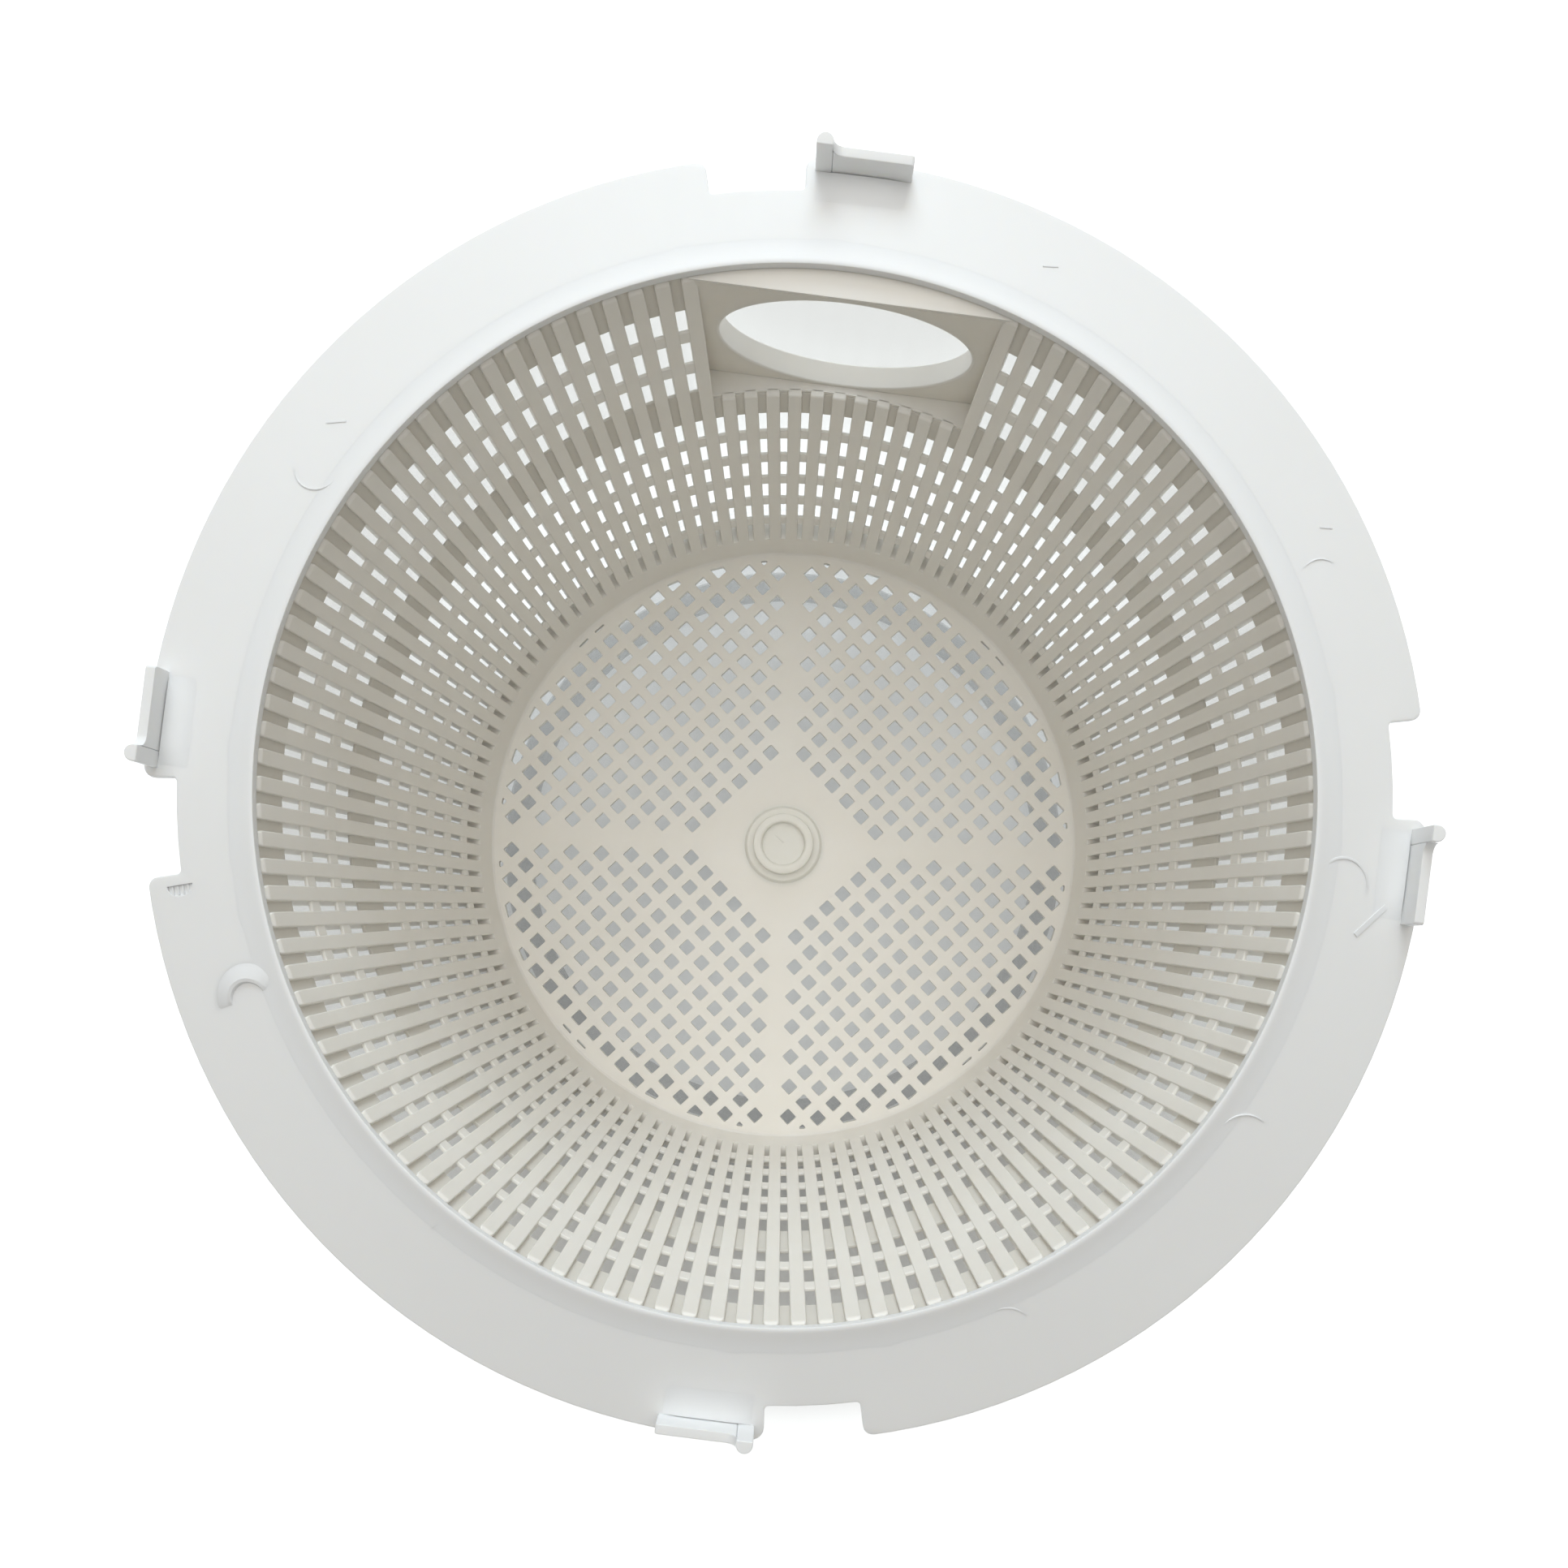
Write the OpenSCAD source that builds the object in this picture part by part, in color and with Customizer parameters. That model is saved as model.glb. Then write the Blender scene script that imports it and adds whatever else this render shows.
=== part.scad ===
// Salad spinner: a slatted basket with a four-lug bayonet collar, on a pivot in a clear outer bowl.
// Millimetres. The origin is the centre of the foot ring's underside, +Z is up, and the oval port
// is in the wall close to +Y. Depths in the basket are measured down from the top of its rim.

/* [Basket] */
// Inner radius of the basket wall at the rim
rim_r = 112; // [106:0.5:114]
// How much the inner wall narrows from the rim to the floor
wall_taper = 24; // [18:1:28]
// Depth from the top of the rim to the top of the floor
basket_depth = 140; // [138:1:150]
// Number of upright slats round the wall
slat_count = 120; // [120:120:120]
// Width of one slat
slat_w = 3.4; // [2.6:0.1:3.8]
// Radial depth of one slat
slat_depth = 6.2; // [5:0.1:6.4]
// How far the slats stand proud of the rim band and the middle band, inside
slat_proud = 1.4; // [0.8:0.1:1.6]
// How far the slats stand proud of the thin hoops, inside
hoop_set_back = 0.3; // [0.2:0.1:0.6]
// Radial thickness of the hoops and bands
hoop_t = 0.9; // [0.8:0.1:1.4]
// Height of one hoop
hoop_h = 4; // [2.6:0.1:4.6]
// Spacing of the window rows in the upper part of the wall
upper_pitch = 12.6; // [12.2:0.1:12.8]
// Spacing of the window rows in the lower part of the wall
row_pitch = 12; // [11.6:0.1:12.1]

/* [Floor] */
// Thickness of the basket floor
floor_t = 2.4; // [2:0.1:2.6]
// Side of one square floor hole
hole_side = 3.5; // [2.5:0.1:4]
// Row spacing of the floor holes, which stand corner to corner
hole_row = 4.53; // [4.4:0.01:5]
// Distance from the floor's cross to its first holes
cross_offset = 5; // [4.8:0.1:6]
// Radius inside which the floor is perforated
hole_field_r = 86; // [80:1:86]

/* [Port] */
// Direction of the port's middle, from +X
port_dir = 85; // [82:3:88]
// Distance from the axis to the flat port panel
port_r = 106.2; // [105.8:0.1:106.4]
// Width of the oval port
port_w = 58; // [50:1:58]
// Height of the oval port
port_h = 46; // [36:1:46]
// Length of the sleeve round the port, outward from the panel
sleeve_l = 5.4; // [4:0.1:5.6]

/* [Collar] */
// Outer radius of the bayonet collar
collar_r = 138; // [137:0.5:140]
// Thickness of the collar plate
collar_t = 2; // [1.6:0.1:2.2]
// Drop of the collar's top face from its bead to its outer edge
collar_drop = 6; // [4:0.5:6.5]
// Radius of the bottom of the four notches
notch_r = 130; // [129:0.5:131]
// Width of one notch, as an angle
notch_sweep = 9; // [8:0.5:10]
// Distance from the axis to the inner face of a rail
rail_r = 134.1; // [134:0.1:134.4]
// Length of one rail
rail_l = 20.8; // [18:0.1:21]
// Height of a rail above the collar
rail_h = 7; // [5:0.5:8]
// Height of the stop at a rail's end, above the collar
stop_h = 11; // [9:0.5:12]

/* [Bowl] */
// Wall thickness of the outer bowl
bowl_t = 2.2; // [2:0.1:2.4]
// Inner radius of the bowl at its rim
bowl_top_r = 123.5; // [123:0.1:124]
// Inner radius of the bowl where its wall meets the floor
bowl_base_r = 101; // [100.5:0.5:103]
// Height of the foot ring
foot_h = 2; // [1.5:0.1:2.5]

/* [Pivot] */
// Diameter of the pivot pin
pin_d = 8; // [7:0.1:8]
// Outer diameter of the hub sleeve
sleeve_d = 12; // [11.5:0.1:12.5]
// Radial clearance of each running fit
run_fit = 0.05; // [0.03:0.01:0.08]

/* [Hidden] */

$fn = 96;
eps = 0.01;

// Heights, from the foot up
bowl_floor_t = 3;
bowl_boss_rise = 6;
seal_t = 1;
flange_t = 1.8;
washer_t = 0.6;
thrust_gap = 0.1;
bowl_floor_z = foot_h + bowl_floor_t;
seal_z = bowl_floor_z + bowl_boss_rise;
flange_z = seal_z + seal_t;
washer_z = flange_z + flange_t;
sleeve_z = washer_z + washer_t + thrust_gap;
sleeve_flange_t = 1.5;
boss_z = sleeve_z + sleeve_flange_t + thrust_gap;
boss_h = 9.9;
boss_rise = 2;
boss_top_z = boss_z + boss_h;
floor_z = boss_top_z - boss_rise;
rim_z = floor_z + basket_depth;

// Wall: every depth is measured down from the rim
lean = wall_taper / basket_depth;
function wall_r(depth) = rim_r - lean * depth;
function wall_z(depth) = rim_z - depth;
slat_top = 2.9;
slat_chamfer = 1.5;
slat_tip = 1.2;
rim_band_bottom = 15.7;
upper_first = 13.6;
upper_hoop_count = 2;
mid_top = 48.9;
mid_bottom = 62.4;
lower_first = 61;
lower_hoop_count = 5;
base_top = 130;
function upper_row(row) = upper_first + upper_pitch * row;
function lower_row(row) = lower_first + row_pitch * row;

// Port: the slats within port_half of its middle stop at the shelf
port_half = 17.5;
slats_in_port = 5;
port_top = 3.5;
port_bottom = 52;
port_centre = 28;
port_panel_t = 1.6;
sleeve_t = 0.9;
shelf_t = 1.2;
cheek_start = 1;
hood_gap = 0.2;
port_panel_w = 2 * port_r * tan(port_half);
port_sides = 64;

// Pivot and hub
pin_flange_r = 9;
stud_end = 0.4;
pin_tip = 0.8;
sleeve_tip_gap = 0.2;
bore_floor_t = 1.6;
pin_tip_gap = 0.2;
sleeve_flange_r = 9;
thrust_washer_r = 7.5;
boss_r = 11.2;
bore_top = 1;
sleeve_top_z = boss_top_z - bore_top - sleeve_tip_gap;
sleeve_bore_z = sleeve_top_z - bore_floor_t;
pin_top_z = sleeve_bore_z - pin_tip_gap;
key_w = 2;
key_rise = 1;
key_gap = 0.1;
cap_r = 9;
cap_h = 3.5;
cap_edge = 0.6;
cap_recess_r = 6.4;
cap_recess_h = 2.4;

// Collar
bead_w = 2.6;
bead_h = 0.8;
notch_start = 0.6;
rail_t = 2.2;
rail_mid = -4.7;
stop_w = 3.6;
stop_round = 1.2;
stop_t = 2.8;
stop_cove = 2.4;
rail_root = 0.8;
quarters = [0 : 90 : 270];
collar_in_z = rim_z - bead_h;
function collar_z(r) = collar_in_z - collar_drop * (r - rim_r) / (collar_r - rim_r);
function collar_under_z(r) = collar_z(r) - collar_t - eps;

// Bowl
bowl_rim_drop = 7;
bowl_rim_z = rim_z - bowl_rim_drop;
bowl_rim_round = 1.8;
bowl_corner = 12;
bowl_corner_z = bowl_floor_z + bowl_corner;
bowl_hole_gap = 0.1;
function bowl_in_r(z) =
    bowl_base_r + (bowl_top_r - bowl_base_r) * (z - bowl_floor_z) / (bowl_rim_z - bowl_floor_z);
nut_d = 15;
nut_h = 5;

// ---------- shapes that repeat ----------

// A band of the tapering wall between two depths, open across the port if asked
module wall_ring(top, bottom, across_port = true, inset = hoop_set_back, thick = hoop_t) {
    open = across_port ? 0 : port_half;
    rotate([0, 0, port_dir + open])
        rotate_extrude(angle = 360 - 2 * open)
            polygon([
                [wall_r(top) + inset, wall_z(top)],
                [wall_r(top) + inset + thick, wall_z(top)],
                [wall_r(bottom) + inset + thick, wall_z(bottom)],
                [wall_r(bottom) + inset, wall_z(bottom)]
            ]);
}

// The sector of the wall that the port takes up between two depths, out to the far faces of its cheeks
module port_gap(top, bottom) {
    reach = 2 * rim_r;
    cheek_face = shelf_t / 2 / cos(port_half);
    rotate([0, 0, port_dir])
        translate([0, 0, wall_z(bottom)])
            linear_extrude(height = bottom - top)
                polygon([
                    [0, -cheek_face], [reach, -reach * tan(port_half) - cheek_face],
                    [reach, reach * tan(port_half) + cheek_face], [0, cheek_face]
                ]);
}

// One upright slat from a given depth down to the base band, with its top inner edge cut back
module slat(top) {
    rotate([90, 0, 0])
        linear_extrude(height = slat_w, center = true)
            polygon([
                [wall_r(top) + slat_tip, min(wall_z(top), collar_under_z(wall_r(top) + slat_tip))],
                [wall_r(top) + slat_depth, min(wall_z(top), collar_under_z(wall_r(top) + slat_depth))],
                [wall_r(base_top) + slat_depth, wall_z(base_top)],
                [wall_r(base_top), wall_z(base_top)],
                [wall_r(top + slat_chamfer), wall_z(top + slat_chamfer)]
            ]);
}

// Outline of the port, as an ellipse grown by a margin
module port_outline(margin = 0) {
    polygon([for (i = [0 : port_sides - 1])
        let (a = 360 * i / port_sides)
        [(port_w / 2 + margin) * cos(a), (port_h / 2 + margin) * sin(a)]]);
}

// Stands a flat outline up at a distance from the axis, facing the port's way, and thickens it outward
module at_port(distance, thick) {
    rotate([0, 0, port_dir - 90])
        translate([0, distance + thick, wall_z(port_centre)])
            rotate([90, 0, 0])
                linear_extrude(height = thick)
                    children();
}

module disc(r, z, h) {
    translate([0, 0, z])
        cylinder(r = r, h = h);
}

// ---------- outer bowl and its pivot ----------

// The bowl's side, from the top of its bottom corner to its rolled rim
module bowl_wall() {
    rim_out = bowl_in_r(bowl_rim_z) + bowl_t;
    color([0.85, 0.9, 0.93, 0.4])
        rotate_extrude() {
            polygon([
                [bowl_in_r(bowl_corner_z), bowl_corner_z], [bowl_in_r(bowl_corner_z) + bowl_t, bowl_corner_z],
                [rim_out, bowl_rim_z - bowl_rim_round], [rim_out, bowl_rim_z],
                [bowl_in_r(bowl_rim_z), bowl_rim_z]
            ]);
            translate([rim_out, bowl_rim_z - bowl_rim_round])
                circle(r = bowl_rim_round, $fn = 32);
        }
}

// The bowl's floor with its raised middle, and the rounded corner up to the side
module bowl_base() {
    boss_foot = 23;
    boss_crown = 17;
    inner_corner_r = bowl_in_r(bowl_corner_z) - bowl_corner;
    corner_steps = 8;
    outer_corner = [for (i = [0 : corner_steps])
        let (a = 90 * i / corner_steps, r = bowl_corner + bowl_t)
        [inner_corner_r + r * sin(a), bowl_corner_z - (bowl_corner_z - foot_h) * cos(a)]];
    inner_corner = [for (i = [corner_steps : -1 : 0])
        let (a = 90 * i / corner_steps)
        [inner_corner_r + bowl_corner * sin(a), bowl_corner_z - bowl_corner * cos(a)]];
    color([0.85, 0.9, 0.93, 0.4])
        rotate_extrude()
            polygon(concat(
                [[pin_d / 2 + bowl_hole_gap, seal_z - bowl_floor_t],
                    [boss_crown - bowl_t, seal_z - bowl_floor_t], [boss_foot - bowl_t, foot_h]],
                outer_corner,
                inner_corner,
                [[boss_foot, bowl_floor_z], [boss_crown, seal_z], [pin_d / 2 + bowl_hole_gap, seal_z]]
            ));
}

module foot_ring() {
    foot_r = 88;
    foot_w = 9;
    foot_edge = 0.6;
    color([0.8, 0.8, 0.78])
        rotate_extrude()
            polygon([
                [foot_r - foot_w + foot_edge, 0], [foot_r - foot_edge, 0], [foot_r, foot_edge],
                [foot_r, foot_h], [foot_r - foot_w, foot_h], [foot_r - foot_w, foot_edge]
            ]);
}

module pivot_pin() {
    stud_z = foot_h + stud_end;
    color("silver") {
        disc(pin_d / 2, stud_z, pin_top_z - pin_tip - stud_z);
        disc(pin_flange_r, flange_z, flange_t);
        translate([0, 0, pin_top_z - pin_tip])
            cylinder(r1 = pin_d / 2, r2 = pin_d / 2 - pin_tip, h = pin_tip);
    }
}

module ring_washer(outer, inner, z, h) {
    difference() {
        disc(outer, z, h);
        disc(inner, z - eps, h + 2 * eps);
    }
}

module pivot_seal() {
    color([0.25, 0.25, 0.26])
        ring_washer(pin_flange_r, pin_d / 2 + bowl_hole_gap, seal_z, seal_t);
}

module pivot_nut() {
    nut_z = seal_z - bowl_floor_t - nut_h;
    color("silver")
        difference() {
            translate([0, 0, nut_z])
                cylinder(d = nut_d, h = nut_h, $fn = 6);
            disc(pin_d / 2, nut_z - eps, nut_h + 2 * eps);
        }
}

module thrust_washer() {
    color([0.72, 0.58, 0.3])
        ring_washer(thrust_washer_r, pin_d / 2 + bowl_hole_gap, washer_z, washer_t);
}

// ---------- hub ----------

module key_bars(reach, w, z, h) {
    translate([-reach, -w / 2, z])
        cube([2 * reach, w, h]);
}

module hub_sleeve() {
    sleeve_h = sleeve_top_z - sleeve_z;
    color([0.93, 0.92, 0.88])
        difference() {
            union() {
                disc(sleeve_flange_r, sleeve_z, sleeve_flange_t);
                disc(sleeve_d / 2, sleeve_z, sleeve_h);
                intersection() {
                    key_bars(sleeve_d / 2 + key_rise, key_w, sleeve_z, sleeve_h);
                    disc(sleeve_d / 2 + key_rise, sleeve_z, sleeve_h);
                }
            }
            disc(pin_d / 2 + run_fit, sleeve_z - eps, sleeve_bore_z - sleeve_z + eps);
        }
}

module hub_boss() {
    bore_h = boss_h - bore_top;
    color([0.93, 0.93, 0.91])
        difference() {
            disc(boss_r, boss_z, boss_h);
            disc(sleeve_d / 2 + run_fit, boss_z - eps, bore_h + eps);
            key_bars(sleeve_d / 2 + key_rise + key_gap, key_w + 2 * key_gap, boss_z - eps, bore_h + eps);
        }
}

module hub_cap() {
    color([0.92, 0.91, 0.88])
        difference() {
            translate([0, 0, boss_top_z])
                rotate_extrude()
                    polygon([
                        [0, 0], [cap_r, 0], [cap_r, cap_h - cap_edge], [cap_r - cap_edge, cap_h], [0, cap_h]
                    ]);
            disc(cap_recess_r, boss_top_z + cap_h - cap_recess_h, cap_recess_h + eps);
        }
}

// ---------- basket ----------

// Floor holes of one quadrant: rows of squares set on their corners, outside the middle diamond
module quadrant_holes() {
    diamond_rows = 5;
    last_row = ceil(hole_field_r / hole_row);
    for (i = [0 : last_row])
        for (j = [0 : last_row])
            if ((i + j) % 2 == 1 && i + j >= diamond_rows)
                let (x = cross_offset + i * hole_row, y = cross_offset + j * hole_row)
                if (norm([x, y]) < hole_field_r + hole_side / 2)
                    translate([x, y])
                        rotate(45)
                            square(hole_side, center = true);
}

module basket_floor() {
    color([0.9, 0.9, 0.88])
        translate([0, 0, floor_z - floor_t])
            linear_extrude(height = floor_t)
                difference() {
                    circle(r = wall_r(basket_depth) + slat_depth);
                    circle(r = boss_r);
                    intersection() {
                        circle(r = hole_field_r);
                        for (quarter = quarters)
                            rotate(quarter)
                                quadrant_holes();
                    }
                }
}

module base_band() {
    color([0.9, 0.9, 0.88])
        wall_ring(base_top, basket_depth, inset = 0, thick = slat_depth);
}

module lower_hoops() {
    color([0.9, 0.9, 0.88])
        for (row = [1 : lower_hoop_count])
            wall_ring(lower_row(row) - hoop_h, lower_row(row));
}

module mid_band() {
    color([0.88, 0.88, 0.86])
        difference() {
            wall_ring(mid_top, mid_bottom, inset = slat_proud);
            port_gap(port_top, port_bottom + shelf_t);
        }
}

module upper_hoops() {
    color([0.9, 0.9, 0.88])
        for (row = [1 : upper_hoop_count])
            wall_ring(upper_row(row) - hoop_h, upper_row(row), across_port = false);
}

module rim_band() {
    band_r = wall_r(bead_h + collar_t) + slat_proud;
    color([0.88, 0.88, 0.86])
        difference() {
            rotate_extrude()
                polygon([
                    [band_r, collar_under_z(band_r)], [band_r + hoop_t, collar_under_z(band_r + hoop_t)],
                    [wall_r(rim_band_bottom) + slat_proud + hoop_t, wall_z(rim_band_bottom)],
                    [wall_r(rim_band_bottom) + slat_proud, wall_z(rim_band_bottom)]
                ]);
            port_gap(port_top, port_bottom);
        }
}

module wall_slats() {
    color([0.92, 0.92, 0.9])
        for (i = [0 : slat_count - 1])
            rotate([0, 0, port_dir + 360 * i / slat_count])
                slat(min(i, slat_count - i) <= slats_in_port ? port_bottom : slat_top);
}

// ---------- port ----------

module port_panel() {
    color([0.86, 0.85, 0.82])
        at_port(port_r, port_panel_t)
            difference() {
                translate([-port_panel_w / 2, port_centre - port_bottom])
                    square([port_panel_w, port_bottom - port_top]);
                port_outline(sleeve_t);
            }
}

module port_sleeve() {
    color([0.9, 0.9, 0.88])
        at_port(port_r, sleeve_l)
            difference() {
                port_outline(sleeve_t);
                port_outline();
            }
}

// A flat ledge between the round wall and a chord at the port
module port_ledge(depth, thick, inner, outer) {
    translate([0, 0, wall_z(depth) - thick])
        linear_extrude(height = thick)
            intersection() {
                circle(r = outer);
                rotate(port_dir)
                    polygon([[inner, -inner * tan(port_half)], [2 * inner, -2 * inner * tan(port_half)],
                        [2 * inner, 2 * inner * tan(port_half)], [inner, inner * tan(port_half)]]);
            }
}

module port_hood() {
    hood_top = bead_h + collar_t + hood_gap;
    color([0.9, 0.9, 0.88])
        port_ledge(hood_top, port_top - hood_top, port_r, wall_r(port_top) + slat_proud);
}

// The shelf's inner edge is set back between the tops of the short slats under it
module port_shelf() {
    shelf_in = wall_r(port_bottom) + slat_proud;
    color([0.9, 0.9, 0.88])
        translate([0, 0, wall_z(port_bottom) - shelf_t])
            linear_extrude(height = shelf_t)
                rotate(port_dir)
                    difference() {
                        polygon([[0, 0], [port_r + port_panel_t, -(port_r + port_panel_t) * tan(port_half)],
                            [port_r + port_panel_t, (port_r + port_panel_t) * tan(port_half)]]);
                        circle(r = shelf_in);
                    }
}

// Side walls that close the wedge between the leaning wall and the upright panel
module port_cheeks() {
    cheek_r = (port_r + port_panel_t) / cos(port_half);
    color([0.88, 0.88, 0.86])
        for (side = [-1, 1])
            rotate([0, 0, port_dir + side * port_half])
                rotate([90, 0, 0])
                    linear_extrude(height = shelf_t, center = true)
                        polygon([
                            [wall_r(port_top) + slat_proud, wall_z(port_top)],
                            [cheek_r, wall_z(port_top + cheek_start)],
                            [cheek_r, wall_z(port_bottom)],
                            [wall_r(port_bottom) + slat_proud, wall_z(port_bottom)]
                        ]);
}

// ---------- bayonet collar ----------

// Footprint of a notch, from its bottom out past the collar's edge
module notch(start, sweep) {
    reach = 1.1 * collar_r;
    intersection() {
        difference() {
            circle(r = reach);
            circle(r = notch_r);
        }
        polygon([[0, 0], [2 * reach * cos(start), 2 * reach * sin(start)],
            [2 * reach * cos(start + sweep), 2 * reach * sin(start + sweep)]]);
    }
}

module bayonet_collar() {
    edge = 0.5;
    low = collar_z(collar_r) - collar_t;
    color([0.96, 0.96, 0.95])
        difference() {
            rotate_extrude()
                polygon([
                    [rim_r, collar_in_z], [collar_r - edge, collar_z(collar_r - edge)],
                    [collar_r, collar_z(collar_r) - edge], [collar_r, low],
                    [rim_r, collar_in_z - collar_t]
                ]);
            for (quarter = quarters)
                rotate([0, 0, quarter])
                    translate([0, 0, low - eps])
                        linear_extrude(height = rim_z - low)
                            notch(notch_start, notch_sweep);
        }
}

module collar_bead() {
    bead_round = 0.6;
    color([0.97, 0.97, 0.96])
        rotate_extrude()
            polygon([
                [rim_r, collar_in_z], [rim_r, rim_z - bead_round], [rim_r + bead_round, rim_z],
                [rim_r + bead_w - bead_round, rim_z], [rim_r + bead_w, rim_z - bead_round],
                [rim_r + bead_w, collar_z(rim_r + bead_w)]
            ]);
}

// A flat outline in the plane of a rail's inner face, thickened outward
module on_rail(thick) {
    at_rails()
        translate([0, 0, collar_z(rail_r)])
            rotate([90, 0, 90])
                linear_extrude(height = thick)
                    children();
}

// Moves what is drawn at a rail's middle, on its inner face, to each of the four rails
module at_rails() {
    for (quarter = quarters)
        rotate([0, 0, quarter + rail_mid])
            translate([rail_r, 0, 0])
                children();
}

// A rail with the cove that runs up to its stop
module bayonet_rails() {
    body_l = rail_l - stop_w;
    color([0.95, 0.95, 0.94])
        on_rail(rail_t)
            translate([-rail_l / 2, -rail_root]) {
                square([body_l, rail_h + rail_root]);
                translate([body_l - stop_cove, rail_h + rail_root - eps])
                    difference() {
                        square([stop_cove, stop_cove + eps]);
                        translate([0, stop_cove + eps])
                            circle(r = stop_cove, $fn = 32);
                    }
            }
}

// A stop, rounded outward in plan and rounded on top from the side
module rail_stops() {
    top = stop_h - stop_round;
    color([0.95, 0.95, 0.94])
        intersection() {
            on_rail(stop_t)
                translate([rail_l / 2 - stop_w, 0]) {
                    translate([0, -rail_root])
                        square([stop_w, top + rail_root]);
                    translate([stop_round, top - eps])
                        square([stop_w - 2 * stop_round, stop_round + eps]);
                    translate([stop_round, top])
                        circle(r = stop_round, $fn = 32);
                    translate([stop_w - stop_round, top])
                        circle(r = stop_round, $fn = 32);
                }
            at_rails()
                translate([0, rail_l / 2 - stop_w / 2, collar_z(collar_r)])
                    linear_extrude(height = collar_drop + stop_h) {
                        translate([-eps, -stop_w / 2])
                            square([stop_t - stop_w / 2 + eps, stop_w]);
                        translate([stop_t - stop_w / 2, 0])
                            circle(d = stop_w, $fn = 48);
                    }
        }
}

bowl_wall();
bowl_base();
foot_ring();
pivot_pin();
pivot_seal();
pivot_nut();
thrust_washer();
hub_sleeve();
hub_boss();
hub_cap();
basket_floor();
base_band();
lower_hoops();
mid_band();
upper_hoops();
rim_band();
wall_slats();
port_panel();
port_sleeve();
port_hood();
port_shelf();
port_cheeks();
bayonet_collar();
collar_bead();
bayonet_rails();
rail_stops();
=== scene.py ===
import math
import bmesh
import bpy
from mathutils import Matrix, Vector, geometry


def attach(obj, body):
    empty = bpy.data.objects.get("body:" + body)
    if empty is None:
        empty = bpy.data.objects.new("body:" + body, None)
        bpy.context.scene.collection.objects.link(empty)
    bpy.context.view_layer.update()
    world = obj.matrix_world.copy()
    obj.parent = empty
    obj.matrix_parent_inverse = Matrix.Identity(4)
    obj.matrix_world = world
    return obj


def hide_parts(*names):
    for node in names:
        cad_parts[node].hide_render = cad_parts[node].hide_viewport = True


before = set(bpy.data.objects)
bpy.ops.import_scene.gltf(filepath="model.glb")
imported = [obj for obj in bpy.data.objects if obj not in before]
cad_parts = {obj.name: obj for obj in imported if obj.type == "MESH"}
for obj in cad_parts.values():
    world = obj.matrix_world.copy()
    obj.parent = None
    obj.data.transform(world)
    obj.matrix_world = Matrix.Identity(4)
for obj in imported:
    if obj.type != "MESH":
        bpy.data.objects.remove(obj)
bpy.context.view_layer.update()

scene = bpy.context.scene
MM = 0.001

# ---------------------------------------------------------------- camera, looking straight down
TURN = math.radians(2.5)
EYE = Vector((0.00036, -0.03422, 0.484))
SENSOR_MM, LENS_MM = 36, 34.957
SHIFT_X, SHIFT_Y = 0.0029, 0.111
up = Vector((-math.sin(TURN), math.cos(TURN), 0))
side = Vector((math.cos(TURN), math.sin(TURN), 0))
cam_data = bpy.data.cameras.new("Camera")
camera = bpy.data.objects.new("Camera", cam_data)
scene.collection.objects.link(camera)
camera.matrix_world = Matrix((
    (side.x, up.x, 0, EYE.x),
    (side.y, up.y, 0, EYE.y),
    (0, 0, 1, EYE.z),
    (0, 0, 0, 1)))
cam_data.sensor_width = SENSOR_MM
cam_data.lens = LENS_MM
cam_data.shift_x = SHIFT_X
cam_data.shift_y = SHIFT_Y
cam_data.clip_start = 0.01
scene.camera = camera

# ---------------------------------------------------------------- sizes, from the CAD
# Lengths are in millimetres and angles in degrees. A "depth" is measured down from the rim.
RIM_Z = 164.0
RIM_R = 112.0
BASKET_DEPTH = 140
LEAN = 24 / BASKET_DEPTH  # how much the wall's radius shrinks for each millimetre down
SLATS = 120
SLAT_PITCH = 3
SLAT_HALF = 1.7
SLAT_DEPTH = 6.2
SLAT_TOP = 2.9
SET_BACK = 1.4  # of the solid bands, behind the slats' inner faces
HOOP_BACK = 0.3
HOOP_T = 0.9
HOOP_H = 4.0
UPPER_HOOPS = (26.2, 38.8)  # depths of the hoops' lower edges
LOWER_HOOPS = (73, 85, 97, 109, 121)
RIM_BAND = (2.9, 15.7)  # depths of a band's two edges
MID_BAND = (48.9, 62.4)
BASE_TOP = 130.0
FLOOR_Z = 24.0
FLOOR_T = 2.4
FIELD = 86.0  # radius of the floor's perforated field
HOLE = 3.5
HOLE_PITCH = 4.53
HOLE_START = 5
PORT_DIR = 85.0
PORT_HALF = 17.5
PORT_R = 106.2
PORT_C = 28.0
PANEL_T = 1.6
SHELF_TOP, SHELF_BOTTOM = 52.0, 53.2
COLLAR_R = 138.0
COLLAR_T = 2.0
COLLAR_FALL = 6
NOTCH_R = 130.0
NOTCH_FROM, NOTCH_TO = 0.6, 9.6
QUARTERS = (0, 90, 180, 270)
RAIL_R = 134.1
RAIL_L = 20.8
RAIL_MID = -4.7
RAIL_T, RAIL_H = 2.2, 7.0
STOP_W, STOP_T, STOP_H = 3.6, 2.8, 11.0
COVE = 2.4  # radius of the curve between rail and stop
ROOT = 0.8  # how far a rail goes down into the collar


def wall_r(depth):
    return RIM_R - LEAN * depth


def wall_z(depth):
    return RIM_Z - depth


def collar_z(r):
    return RIM_Z - 0.8 - COLLAR_FALL * (r - RIM_R) / (COLLAR_R - RIM_R)


# ---------------------------------------------------------------- geometry helpers
EDGE_STEPS = 2
INSIDE_WITH_HOLES = 2  # the output type of the triangulation that leaves the holes open
WELD = 0.002


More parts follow.
